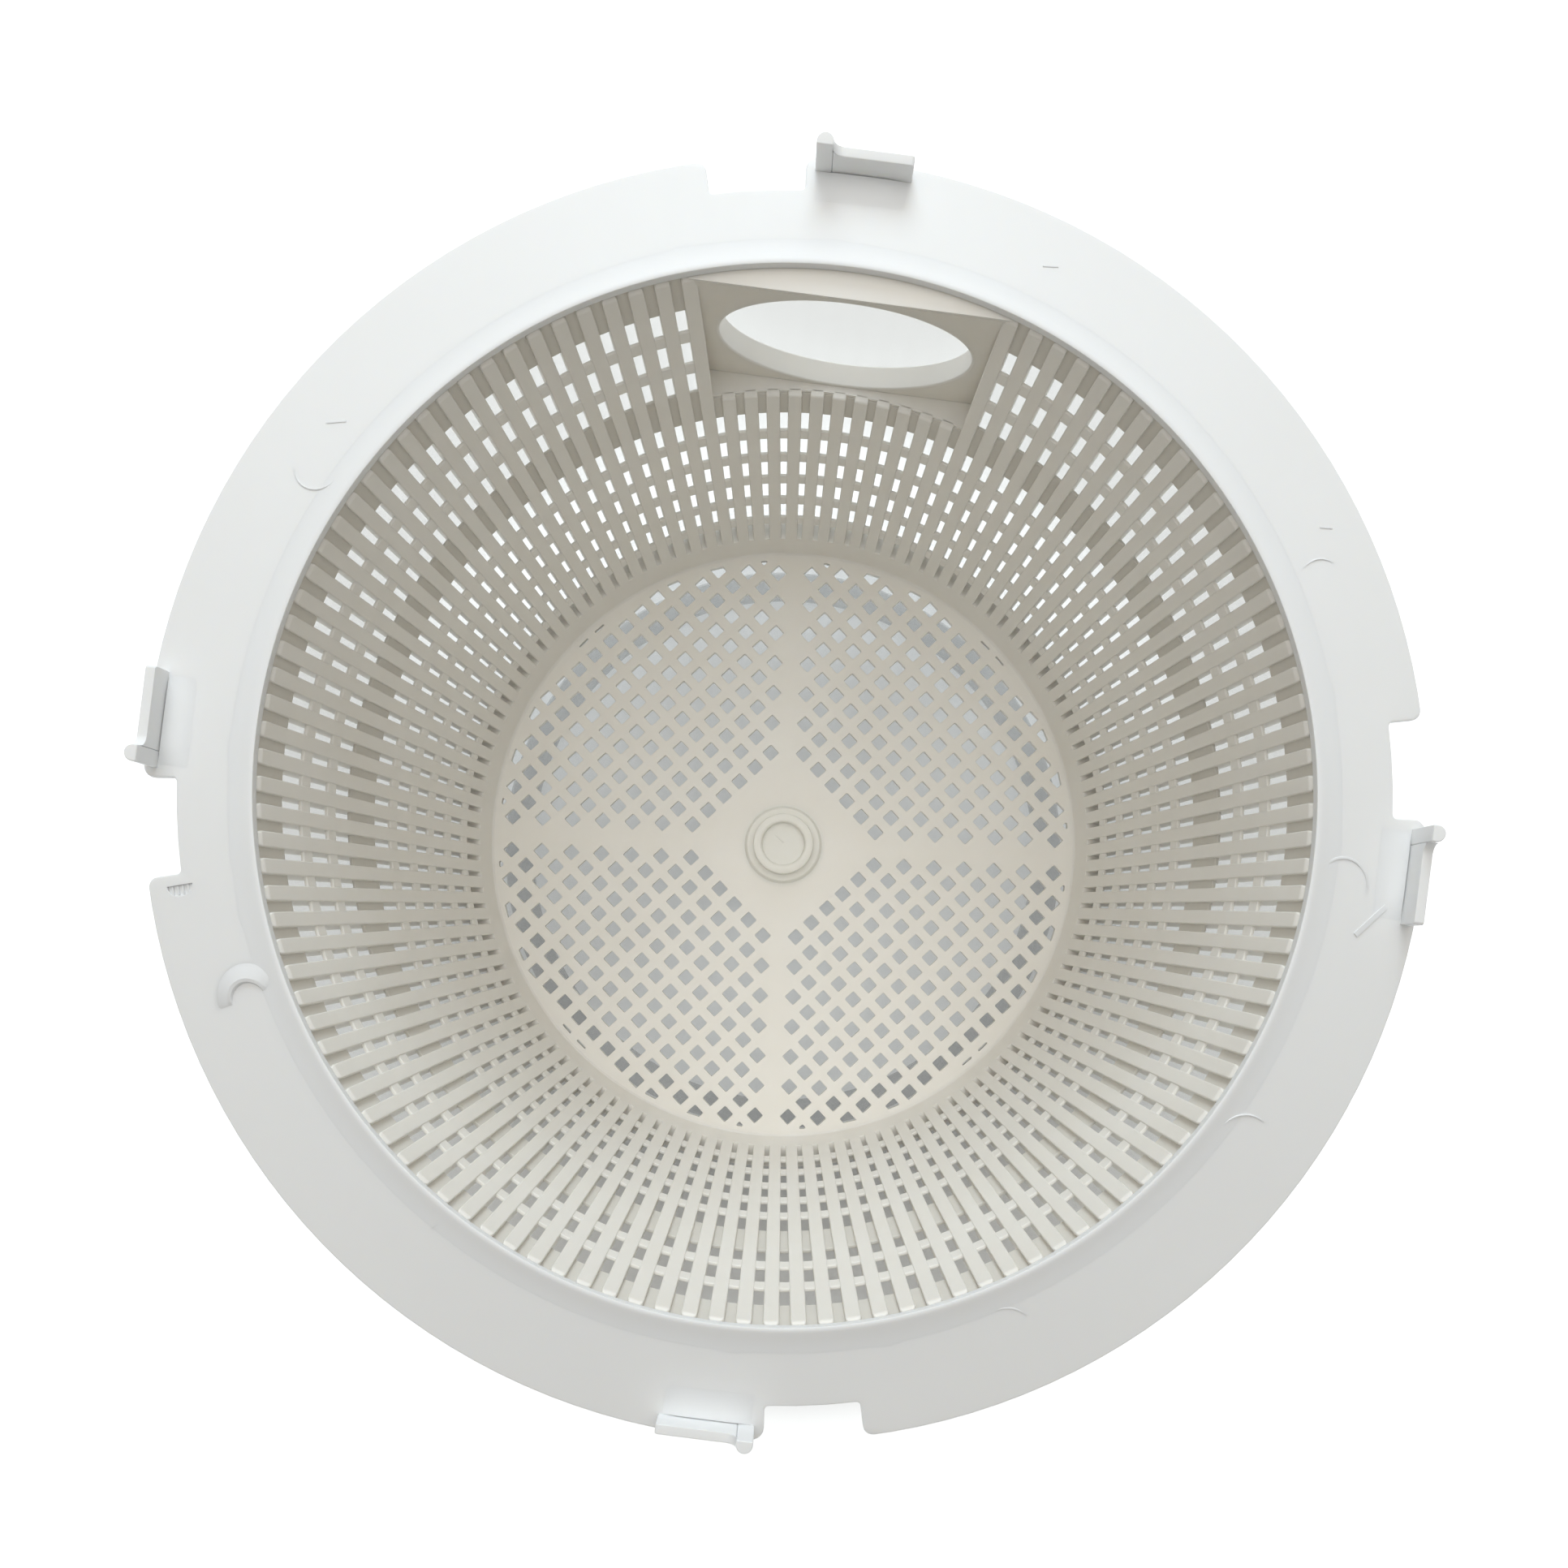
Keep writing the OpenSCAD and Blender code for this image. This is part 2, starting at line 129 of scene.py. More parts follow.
def rounded(points, radii, seg=3):
    """A closed outline with its corners rounded. radii is one number, or one for each corner."""
    n = len(points)
    out = []
    for i in range(n):
        r = radii[i] if hasattr(radii, "__len__") else radii
        a, b, c = Vector(points[i - 1]), Vector(points[i]), Vector(points[(i + 1) % n])
        if r <= 0:
            out.append((b.x, b.y))
            continue
        u, v = a - b, c - b
        lu, lv = u.length, v.length
        u /= lu
        v /= lv
        ang = math.acos(max(-1, min(1, u.dot(v))))
        t = min(r / math.tan(ang / 2), 0.49 * lu, 0.49 * lv)
        rr = t * math.tan(ang / 2)
        mid = b + (u + v).normalized() * (rr / math.sin(ang / 2))
        s, e = b + u * t, b + v * t
        a0 = math.atan2(s.y - mid.y, s.x - mid.x)
        d = (math.atan2(e.y - mid.y, e.x - mid.x) - a0 + math.pi) % (2 * math.pi) - math.pi
        for k in range(seg + 1):
            at = a0 + d * k / seg
            out.append((mid.x + rr * math.cos(at), mid.y + rr * math.sin(at)))
    return out


def area_of(loop):
    total = sum(loop[i - 1][0] * loop[i][1] - loop[i][0] * loop[i - 1][1] for i in range(len(loop)))
    return total / 2


def grown(loop, by):
    """A closed outline moved outward along its own normals."""
    n = len(loop)
    sign = 1 if area_of(loop) > 0 else -1
    out = []
    for i in range(n):
        a, b, c = Vector(loop[i - 1]), Vector(loop[i]), Vector(loop[(i + 1) % n])
        u, v = (b - a).normalized(), (c - b).normalized()
        n1, n2 = Vector((u.y, -u.x)), Vector((v.y, -v.x))
        m = (n1 + n2).normalized()
        k = by * sign / max(0.3, m.dot(n1))
        out.append((b.x + m.x * k, b.y + m.y * k))
    return out


class Part:
    """Collects faces in millimetres and makes one mesh object of them."""

    def __init__(self):
        self.verts = []
        self.faces = []

    def add(self, verts, faces, place=None):
        base = len(self.verts)
        self.verts += [tuple(place @ Vector(v)) if place else tuple(v) for v in verts]
        self.faces += [tuple(base + i for i in f) for f in faces]

    def lathe(self, loop, steps=240, start=0.0, sweep=360.0):
        """Turns a closed (radius, height) outline about Z, capping both ends of a part turn."""
        full = sweep > 359.99
        m = len(loop)
        count = steps if full else steps + 1
        verts = []
        for k in range(count):
            t = math.radians(start + sweep * k / steps)
            verts += [(r * math.cos(t), r * math.sin(t), z) for r, z in loop]
        faces = []
        for k in range(steps):
            a, b = k * m, ((k + 1) % count) * m
            for i in range(m):
                j = (i + 1) % m
                faces.append((a + i, b + i, b + j, a + j))
        if not full:
            faces.append(tuple(range(m)))
            faces.append(tuple(reversed(range((count - 1) * m, count * m))))
        self.add(verts, faces)

    def rings(self, loops, place=None, caps=True):
        """Joins a list of equal 3-D loops in order, closed at both ends if asked."""
        m = len(loops[0])
        verts = [v for loop in loops for v in loop]
        faces = []
        for k in range(len(loops) - 1):
            for i in range(m):
                j = (i + 1) % m
                faces.append((k * m + i, k * m + j, (k + 1) * m + j, (k + 1) * m + i))
        if caps:
            faces.append(tuple(reversed(range(m))))
            faces.append(tuple(range((len(loops) - 1) * m, len(loops) * m)))
        self.add(verts, faces, place)

    def block(self, loop, low, high, edge, place=None):
        """A flat outline thickened from low to high, with rounded edges."""
        turns = [math.pi / 2 * k / EDGE_STEPS for k in range(EDGE_STEPS + 1)]
        steps = [(edge * (1 - math.sin(a)), edge * (1 - math.cos(a))) for a in turns]
        loops = [[(x, y, low + rise) for x, y in grown(loop, -ins)] for ins, rise in steps]
        loops += [[(x, y, high - rise) for x, y in grown(loop, -ins)] for ins, rise in reversed(steps)]
        self.rings(loops, place)

    def plate(self, outer, holes, thick, edge, top, hole_edge=None, place=None):
        """A plate with holes. top(x, y) is its upper surface; its edges are rounded."""
        hole_edge = edge if hole_edge is None else hole_edge
        if area_of(outer) < 0:
            outer = outer[::-1]
        shoulder = ((1, 0), (0.3, 0.3), (0, 1))  # shares of the edge radius: inward, and down
        for loop, ins in [(outer, -edge)] + [(h, hole_edge) for h in holes]:
            e = abs(ins)
            loops = []
            for share, rise in shoulder:
                loops.append([(x, y, top(x, y) - rise * e) for x, y in grown(loop, ins * share)])
            for share, rise in reversed(shoulder):
                loops.append([(x, y, top(x, y) - thick + rise * e)
                              for x, y in grown(loop, ins * share)])
            self.rings(loops, place, caps=False)
        points, edges, faces = [], [], []
        for loop in [grown(outer, -edge)] + [grown(h, hole_edge) for h in holes]:
            base = len(points)
            points += [Vector(p) for p in loop]
            faces.append(list(range(base, len(points))))
        made = geometry.delaunay_2d_cdt(points, edges, faces, INSIDE_WITH_HOLES, 1e-5)
        flat, tiles = made[0], made[2]
        upper = [(v.x, v.y, top(v.x, v.y)) for v in flat]
        lower = [(v.x, v.y, top(v.x, v.y) - thick) for v in flat]
        self.add(upper, tiles, place)
        self.add(lower, [tuple(reversed(f)) for f in tiles], place)

    def done(self, name, mat, body, slot, stands_for=(), sharp=40):
        """Makes the object, smooth up to the sharp angle, puts it on its body and hides the CAD parts
        it stands for.
        """
        mesh = bpy.data.meshes.new(name)
        mesh.from_pydata([(x * MM, y * MM, z * MM) for x, y, z in self.verts], [], self.faces)
        bm = bmesh.new()
        bm.from_mesh(mesh)
        bmesh.ops.remove_doubles(bm, verts=bm.verts, dist=WELD * MM)
        bmesh.ops.dissolve_degenerate(bm, dist=WELD * MM / 2, edges=bm.edges)
        bmesh.ops.recalc_face_normals(bm, faces=bm.faces)
        bm.to_mesh(mesh)
        bm.free()
        mesh.polygons.foreach_set("use_smooth", [True] * len(mesh.polygons))
        mesh.set_sharp_from_angle(angle=math.radians(sharp))
        mesh.materials.append(mat)
        obj = bpy.data.objects.new(name, mesh)
        scene.collection.objects.link(obj)
        weighted = obj.modifiers.new("normals", "WEIGHTED_NORMAL")
        weighted.keep_sharp = True
        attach(obj, body)
        if stands_for:
            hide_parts(*stands_for)
        return obj


def turned(degrees):
    return Matrix.Rotation(math.radians(degrees), 4, "Z")


def polar(r, angle):
    return (r * math.cos(angle), r * math.sin(angle))


def oblong(half_l, half_w):
    return [(-half_l, -half_w), (half_l, -half_w), (half_l, half_w), (-half_l, half_w)]


def ellipse(a, b, count=96):
    turns = [2 * math.pi * k / count for k in range(count)]
    return [(a * math.cos(t), b * math.sin(t)) for t in turns]


# ---------------------------------------------------------------- materials
RELIEF_DEPTH = 0.0001  # of the skin texture, in metres
MOTTLE = (0.32, 0.68)  # where the noise reaches the dark colour and the light one


def node(tree, kind, **values):
    made = tree.nodes.new(kind)
    for key, value in values.items():
        made.inputs[key].default_value = value
    return made


def plastic(name, light, dark, rough, spread=0.06, cell=55.0, grain=1400.0, bump=0.06, **sockets):
    """Moulded plastic: slow mottling in the colour, uneven gloss and a fine skin texture."""
    mat = bpy.data.materials.new(name)
    mat.use_nodes = True
    tree = mat.node_tree
    tree.nodes.clear()
    out = tree.nodes.new("ShaderNodeOutputMaterial")
    shader = tree.nodes.new("ShaderNodeBsdfPrincipled")
    tree.links.new(shader.outputs[0], out.inputs[0])
    where = tree.nodes.new("ShaderNodeTexCoord")
    mottle = node(tree, "ShaderNodeTexNoise", Scale=cell, Detail=4.0, Roughness=0.6)
    tree.links.new(where.outputs["Object"], mottle.inputs["Vector"])
    ramp = tree.nodes.new("ShaderNodeValToRGB")
    for stop, place, colour in zip(ramp.color_ramp.elements, MOTTLE, (dark, light)):
        stop.position = place
        stop.color = (*colour, 1)
    tree.links.new(mottle.outputs["Fac"], ramp.inputs[0])
    tree.links.new(ramp.outputs[0], shader.inputs["Base Color"])
    gloss = node(tree, "ShaderNodeTexNoise", Scale=cell * 5, Detail=3.0)
    tree.links.new(where.outputs["Object"], gloss.inputs["Vector"])
    span = tree.nodes.new("ShaderNodeMapRange")
    span.inputs["To Min"].default_value = rough - spread
    span.inputs["To Max"].default_value = rough + spread
    tree.links.new(gloss.outputs["Fac"], span.inputs["Value"])
    tree.links.new(span.outputs[0], shader.inputs["Roughness"])
    fine = node(tree, "ShaderNodeTexNoise", Scale=grain, Detail=2.0)
    tree.links.new(where.outputs["Object"], fine.inputs["Vector"])
    relief = node(tree, "ShaderNodeBump", Strength=bump, Distance=RELIEF_DEPTH)
    tree.links.new(fine.outputs["Fac"], relief.inputs["Height"])
    tree.links.new(relief.outputs[0], shader.inputs["Normal"])
    for key, value in sockets.items():
        shader.inputs[key.replace("_", " ")].default_value = value
    return mat


SOFT = dict(Subsurface_Weight=0.12, Subsurface_Radius=(1.0, 0.82, 0.6), Subsurface_Scale=0.003)
basket_mat = plastic("basket_plastic", (0.875, 0.856, 0.812), (0.857, 0.834, 0.782), 0.42, **SOFT)
collar_mat = plastic("collar_plastic", (0.862, 0.876, 0.886), (0.852, 0.864, 0.872), 0.5,
                     cell=30.0, Specular_IOR_Level=0.3, **SOFT)
# the bands get a darker copy of the basket plastic: painted shade for the recesses they sit back in
# between the slats
band_shade_mat = plastic("band_plastic_painted_shade", (0.75, 0.73, 0.68), (0.725, 0.70, 0.65), 0.5, **SOFT)
panel_mat = plastic("panel_plastic", (0.82, 0.797, 0.745), (0.80, 0.774, 0.717), 0.5,
                    grain=2600.0, bump=0.12, **SOFT)
hub_mat = plastic("hub_plastic", (0.86, 0.85, 0.80), (0.84, 0.83, 0.775), 0.4, **SOFT)
rubber_mat = plastic("foot_rubber", (0.86, 0.86, 0.85), (0.82, 0.82, 0.81), 0.6,
                     grain=2200.0, bump=0.2, Alpha=0.35)
seal_mat = plastic("seal_rubber", (0.02, 0.02, 0.021), (0.014, 0.014, 0.015), 0.7,
                   grain=2200.0, bump=0.2)
steel_mat = plastic("steel", (0.62, 0.63, 0.64), (0.55, 0.555, 0.56), 0.3,
                    cell=400.0, bump=0.1, Metallic=1.0)
brass_mat = plastic("brass", (0.72, 0.56, 0.28), (0.62, 0.47, 0.22), 0.35,
                    cell=400.0, bump=0.1, Metallic=1.0)
bowl_mat = plastic("clear_plastic", (0.90, 0.935, 0.95), (0.88, 0.92, 0.94), 0.07,
                   spread=0.03, bump=0.02, Alpha=0.16, IOR=1.5)

# ---------------------------------------------------------------- basket wall
ROUND_IN, ROUND_OUT = 0.32, 0.25
TIP, SHORT_TIP = 1.1, 0.5
TIP_STEPS = 5
SHORT_REACH = 5  # slats on each side of the port's middle that end at its shelf
STEP_DEPTH = SHELF_BOTTOM + 0.4  # above this a short slat is cut back to stand before the shelf

slats = Part()
for i in range(SLATS):
    short = min(i, SLATS - i) <= SHORT_REACH
    top = SHELF_TOP if short else SLAT_TOP
    tip = SHORT_TIP if short else TIP
    stations = [(BASE_TOP + 1.0, 0.0)]  # pairs of a depth and how far the section shrinks there
    stations += [(d, 0.0) for d in (100.0, 70.0) if d > top + 3]
    if short:
        stations += [(STEP_DEPTH, 0.0), (SHELF_BOTTOM + 0.38, 0.0)]
    for k in range(TIP_STEPS + 1):
        phi = math.pi / 2 * k / TIP_STEPS
        stations.append((top + tip * (1 - math.sin(phi)), tip * (1 - math.cos(phi))))
    loops = []
    for depth, ins in stations:
        half = SLAT_HALF - 0.75 * ins
        inner = wall_r(depth) + ins
        outer = wall_r(depth) + SLAT_DEPTH - 0.3 * ins
        if short and depth < STEP_DEPTH - 0.01:
            outer = wall_r(SHELF_TOP) + SET_BACK + 0.4
        round_in = min(ROUND_IN, 0.8 * half)
        shape = rounded([(inner, -half), (outer, -half), (outer, half), (inner, half)],
                        [round_in, ROUND_OUT, ROUND_OUT, round_in])
        loops.append([(x, y, min(wall_z(depth), collar_z(x) - COLLAR_T)) for x, y in shape])
    slats.rings(loops, turned(PORT_DIR + SLAT_PITCH * i))
slats.done("wall_slats_v", basket_mat, "basket", "basket_plastic", ["wall_slats"])


def band_loop(top, bottom, inset=HOOP_BACK):
    """The section of a hoop or band that follows the wall between two depths."""
    return rounded([
        (wall_r(top) + inset, wall_z(top)), (wall_r(bottom) + inset, wall_z(bottom)),
        (wall_r(bottom) + inset + HOOP_T, wall_z(bottom)),
        (wall_r(top) + inset + HOOP_T, wall_z(top))], 0.25)


OPEN = dict(steps=216, start=PORT_DIR + PORT_HALF, sweep=360 - 2 * PORT_HALF)
hoops = Part()
for row in UPPER_HOOPS:
    hoops.lathe(band_loop(row - HOOP_H, row), **OPEN)
for row in LOWER_HOOPS:
    hoops.lathe(band_loop(row - HOOP_H, row))
hoops.done("hoops_v", basket_mat, "basket", "basket_plastic", ["upper_hoops", "lower_hoops"])

bands = Part()
bands.lathe(band_loop(*RIM_BAND, SET_BACK), **OPEN)
bands.lathe(band_loop(*MID_BAND, SET_BACK), **OPEN)
bands.lathe(band_loop(SHELF_BOTTOM, MID_BAND[1], SET_BACK), steps=24,
            start=PORT_DIR - PORT_HALF - 0.2, sweep=2 * PORT_HALF + 0.4)
bands.done("wall_bands_v", band_shade_mat, "basket", "basket_plastic", ["rim_band", "mid_band"])

base = Part()
foot_r = wall_r(BASKET_DEPTH)
base.lathe([
    (wall_r(BASE_TOP), wall_z(BASE_TOP)), (wall_r(138.9), wall_z(138.9)),
    (foot_r + 0.12, wall_z(139.5)), (foot_r - 0.1, wall_z(139.85)),
    (foot_r - 0.55, wall_z(140.0)), (foot_r - 0.55, wall_z(140.3)), (foot_r + 1, wall_z(140.6)),
    (foot_r + SLAT_DEPTH, wall_z(142.3)), (wall_r(BASE_TOP) + SLAT_DEPTH, wall_z(BASE_TOP))],
    steps=360)
base.done("base_band_v", basket_mat, "basket", "basket_plastic", ["base_band"], sharp=50)

# ---------------------------------------------------------------- basket floor
ROWS = 20
PLAIN_ROWS = 5  # left without holes round the hub
LEAST_HOLE = 1.6  # square millimetres: a smaller scrap of a hole is left out


def cut_by_field(shape, far, n):
    """The part of a hole inside the line that crosses its direction n at the field's edge."""
    kept = []
    for k in range(len(shape)):
        a, b = Vector(shape[k]), Vector(shape[(k + 1) % len(shape)])
        da, db = a.dot(n) - far, b.dot(n) - far
        if da <= 0:
            kept.append((a.x, a.y))
        if (da < 0) != (db < 0):
            p = a + (b - a) * (da / (da - db))
            kept.append((p.x, p.y))
    return kept


holes = []
half_hole = HOLE / math.sqrt(2)
for quarter in range(4):
    turn = math.pi / 2 * quarter
    for i in range(ROWS):
        for j in range(ROWS):
            if (i + j) % 2 == 0 or i + j < PLAIN_ROWS:
                continue
            cx, cy = HOLE_START + i * HOLE_PITCH, HOLE_START + j * HOLE_PITCH
            far = math.hypot(cx, cy)
            shape = [(cx + half_hole, cy), (cx, cy + half_hole),
                     (cx - half_hole, cy), (cx, cy - half_hole)]
            kept = cut_by_field(shape, FIELD, Vector((cx / far, cy / far)))
            if len(kept) < 3 or abs(area_of(kept)) < LEAST_HOLE:
                continue
            kept = [(x * math.cos(turn) - y * math.sin(turn), x * math.sin(turn) + y * math.cos(turn))
                    for x, y in kept]
            holes.append(rounded(kept, 0.35, 2))
floor = Part()
floor.plate(ellipse(foot_r - 0.35, foot_r - 0.35, 240), holes + [ellipse(11.0, 11.0, 72)],
            FLOOR_T, 0.25, lambda x, y: FLOOR_Z, hole_edge=0.22)
floor.lathe([(foot_r - 0.5, FLOOR_Z - 0.6), (foot_r + 5.8, FLOOR_Z - 0.6),
             (foot_r + 5.8, FLOOR_Z - FLOOR_T), (foot_r - 0.5, FLOOR_Z - FLOOR_T)])
floor.done("basket_floor_v", basket_mat, "basket", "basket_plastic", ["basket_floor"], sharp=35)

# ---------------------------------------------------------------- hub
hub = Part()
hub.lathe([(6.05, 16.1), (6.05, 24.9), (0, 24.9), (0, 26.0), (10.5, 26.0), (10.9, 25.85),
           (11.15, 25.5), (11.2, 25.0), (11.3, 24.4), (11.7, 24.02), (12.4, 24.0), (11.2, 22.0),
           (11.2, 16.5), (10.8, 16.1)], steps=96)
hub.done("hub_boss_v", hub_mat, "basket", "basket_plastic", ["hub_boss"])
cap = Part()
cap.lathe([(0, 26.0), (8.9, 26.0), (9.0, 26.2), (9.0, 28.7), (8.85, 29.15), (8.4, 29.4),
           (7.2, 29.5), (6.8, 29.4), (6.5, 29.1), (6.4, 28.6), (6.4, 27.4), (6.2, 27.15),
           (5.8, 27.1), (0, 27.1)], steps=96)
cap.block(rounded(oblong(1.7, 0.2), 0.12), 27.0, 27.35, 0.08,
          Matrix.Translation((-1.2, 1.6, 0)) @ turned(-38))
cap.done("hub_cap_v", hub_mat, "basket", "hub_plastic", ["hub_cap"])

# ---------------------------------------------------------------- port
# local x runs along the panel, y up it and z towards the axis; the origin is the port's centre
PORT_PLACE = turned(PORT_DIR - 90) @ Matrix((
    (1, 0, 0, 0), (0, 0, -1, PORT_R), (0, 1, 0, wall_z(PORT_C)), (0, 0, 0, 1)))
PANEL_TOP = 3.5
PORT_A, PORT_B = 29, 23  # half the port's width and height inside the sleeve
SLEEVE_T, SLEEVE_L = 0.9, 5.4
panel_half = PORT_R * math.tan(math.radians(PORT_HALF))
low, high = PORT_C - SHELF_TOP, PORT_C - PANEL_TOP
panel = Part()
panel.plate([(-panel_half, low), (panel_half, low), (panel_half, high), (-panel_half, high)],
            [ellipse(PORT_A + 0.6, PORT_B + 0.6)], PANEL_T, 0.15, lambda x, y: 0.0, place=PORT_PLACE)
panel.done("port_panel_v", panel_mat, "basket", "basket_plastic", ["port_panel"])

sleeve = Part()
section = rounded([(0, 0), (SLEEVE_T, 0), (SLEEVE_T, -SLEEVE_L), (0, -SLEEVE_L)], 0.4)
loops = [[(x, y, w) for x, y in ellipse(PORT_A + out, PORT_B + out)] for out, w in section]
loops.append(loops[0])
sleeve.rings(loops, PORT_PLACE, caps=False)
sleeve.done("port_sleeve_v", basket_mat, "basket", "basket_plastic", ["port_sleeve"])

mid, half = math.radians(PORT_DIR), math.radians(PORT_HALF)
back_r = PORT_R + PANEL_T


def chord_end(r, side_of, angle):
    """Where the flat plane at distance r meets the port's edge direction on one side."""
    tan = side_of * math.tan(angle)
    return (r * (math.cos(mid) - tan * math.sin(mid)), r * (math.sin(mid) + tan * math.cos(mid)))


HOOD_R = 112.7
hood_half = math.radians(PORT_HALF + 0.6)
hood = [polar(HOOD_R, mid + hood_half * k / 12) for k in range(-12, 13)]
hood += [chord_end(PORT_R + 0.1, s, hood_half) for s in (1, -1)]
hood_part = Part()
hood_part.block(hood, wall_z(3.6), wall_z(2.8), 0.2)
hood_part.done("port_hood_v", basket_mat, "basket", "basket_plastic", ["port_hood"])

shelf_in = wall_r(SHELF_TOP) + SET_BACK + 0.05
shelf = [polar(shelf_in, mid + half * k / 12) for k in range(12, -13, -1)]
shelf += [chord_end(back_r, s, half) for s in (-1, 1)]
shelf_part = Part()
shelf_part.block(shelf, wall_z(SHELF_BOTTOM), wall_z(SHELF_TOP), 0.15)
shelf_part.done("port_shelf_v", basket_mat, "basket", "basket_plastic", ["port_shelf"])

cheeks = Part()
cheek_r = back_r / math.cos(half)
for s in (-1, 1):
    place = turned(PORT_DIR + s * PORT_HALF) @ Matrix((
        (1, 0, 0, 0), (0, 0, -1, 0), (0, 1, 0, 0), (0, 0, 0, 1)))
    cheeks.block([(wall_r(PANEL_TOP) + 1.0, wall_z(PANEL_TOP)),
                  (wall_r(SHELF_TOP) + 1.0, wall_z(SHELF_TOP)),
                  (cheek_r, wall_z(SHELF_TOP)), (cheek_r, wall_z(4.5))], -0.6, 0.6, 0.1, place)
cheeks.done("port_cheeks_v", basket_mat, "basket", "basket_plastic", ["port_cheeks"])

# ---------------------------------------------------------------- bayonet collar
ARC_STEPS = 33
outline, radii = [], []
for q in QUARTERS:
    a0, a1 = q + NOTCH_FROM, q + NOTCH_TO
    corners = [(COLLAR_R, a0, 3.2), (NOTCH_R, a0, 0.9), (NOTCH_R, a0 + 3, 0), (NOTCH_R, a0 + 6, 0),
               (NOTCH_R, a1, 0.9), (COLLAR_R, a1, 2.2)]
    corners += [(COLLAR_R, a1 + 81 * k / ARC_STEPS, 0) for k in range(1, ARC_STEPS)]
    for r, a, corner in corners:
        outline.append(polar(r, math.radians(a)))
        radii.append(corner)
outline = rounded(outline, radii, 5)


def cone(x, y):
    return collar_z(math.hypot(x, y))


def on_collar(degrees, r, spin=0.0):
    """A frame lying on the collar: x clockwise round it, y outward, z off the surface."""
    slope = math.atan(COLLAR_FALL / (COLLAR_R - RIM_R))
    return (turned(degrees) @ Matrix.Translation((r, 0, collar_z(r)))
            @ Matrix.Rotation(slope, 4, "Y") @ turned(-90 + spin))


# a small ribbed pocket: a half oval hole through the collar, closed again by a sunk plate
POCKET_DIR, POCKET_R = 190.5, 130.6
POCKET_FLOOR, POCKET_RIBS, RIB_STEP = -0.75, 4, 1.25
half_turn = [math.pi * k / 10 for k in range(11)]
pocket = [(0.45 + 2.4 * math.sin(a), 3.0 * math.cos(a)) for a in half_turn]
turn = math.radians(POCKET_DIR)
pocket_hole = [((POCKET_R + v) * math.cos(turn) - u * math.sin(turn),
                (POCKET_R + v) * math.sin(turn) + u * math.cos(turn)) for u, v in pocket]

collar = Part()
collar.plate(outline, [ellipse(RIM_R + 0.6, RIM_R + 0.6, 240), pocket_hole], COLLAR_T, 0.5, cone,
             hole_edge=0.15)
in_pocket = on_collar(POCKET_DIR, POCKET_R)
collar.block([(-u * 1.15 + 0.1, v * 1.1) for u, v in pocket], -1.9, POCKET_FLOOR, 0.05, in_pocket)
for k in range(POCKET_RIBS):
    low, high = -2.0 + RIB_STEP * k, -1.7 + RIB_STEP * k
    collar.block([(-2.4, low), (-0.6, low), (-0.6, high), (-2.4, high)], -1.0, -0.2, 0.06, in_pocket)


def arc_rib(degrees, r, radius, start, end, width=0.45, height=0.22, soft=0.25):
    """A low curved rib on the collar, fading out at both ends. Its angles are measured from +X."""
    steps = 20
    buried = 0.12
    loops = []
    for k in range(steps + 1):
        a = math.radians(start + (end - start) * k / steps - degrees + 90)
        out = Vector((math.cos(a), math.sin(a), 0))
        h = -buried + (height + buried) * math.sin(math.pi * k / steps) ** 0.6
        section = ((-0.5, -0.3), (-0.4, h * 0.8), (-0.25, h), (0.5 - soft * 1.6, h * 0.9),
                   (0.5 - soft * 0.6, h * 0.4), (0.5, -0.3))
        loops.append([tuple(out * radius + out * width * share + Vector((0, 0, rise)))
                      for share, rise in section])
    collar.rings(loops, on_collar(degrees, r))


def bar(degrees, r, spin, length, width=0.4, height=0.16):
    """A low straight rib on the collar."""
    collar.block(oblong(length / 2, width / 2), -0.3, height, 0.12, on_collar(degrees, r, spin))


# shallow moulding marks on the collar's face
arc_rib(147.1, 121.5, 5.5, 185, 345)
bar(142.6, 124.3, -50, 4.6, 0.45)
bar(65.9, 126.4, 27, 3.4, 0.45)
bar(29.0, 129.0, 63, 3.0, 0.45)
arc_rib(24.1, 123.0, 5.4, 60, 150)
arc_rib(-6.6, 119.7, 6.0, -15, 195, width=0.8, height=0.2)
bar(-9.4, 127.5, -38, 9.4, 1.2, 0.22)
arc_rib(-34.7, 122.0, 6.5, 45, 160, height=0.3)
arc_rib(-65.0, 122.9, 5.4, 40, 130, height=0.14)
arc_rib(235.9, 117.9, 5.4, 60, 150, height=0.14)
arc_rib(203.3, 121.6, 6.0, 30, 200, width=4.8, height=0.95, soft=0.45)
collar.done("bayonet_collar_v", collar_mat, "basket", "collar_plastic", ["bayonet_collar"], sharp=35)

BEAD_W, CROWN_H = 6.4, 0.62
bead = Part()
crown = [(RIM_R + t, collar_z(RIM_R + t) + CROWN_H * ((BEAD_W - t) / 5.0) ** 2)
         for t in (1.4, 2.4, 3.4, 4.4, 5.4)]
bead.lathe([(RIM_R, 161.4), (RIM_R, 163.4), (RIM_R + 0.12, 163.66), (RIM_R + 0.4, 163.76),
            (RIM_R + 0.9, 163.68)] + crown
           + [(RIM_R + BEAD_W, collar_z(RIM_R + BEAD_W) - 0.02), (RIM_R + BEAD_W, 161.2)], steps=360)
bead.done("collar_bead_v", collar_mat, "basket", "collar_plastic", ["collar_bead"])

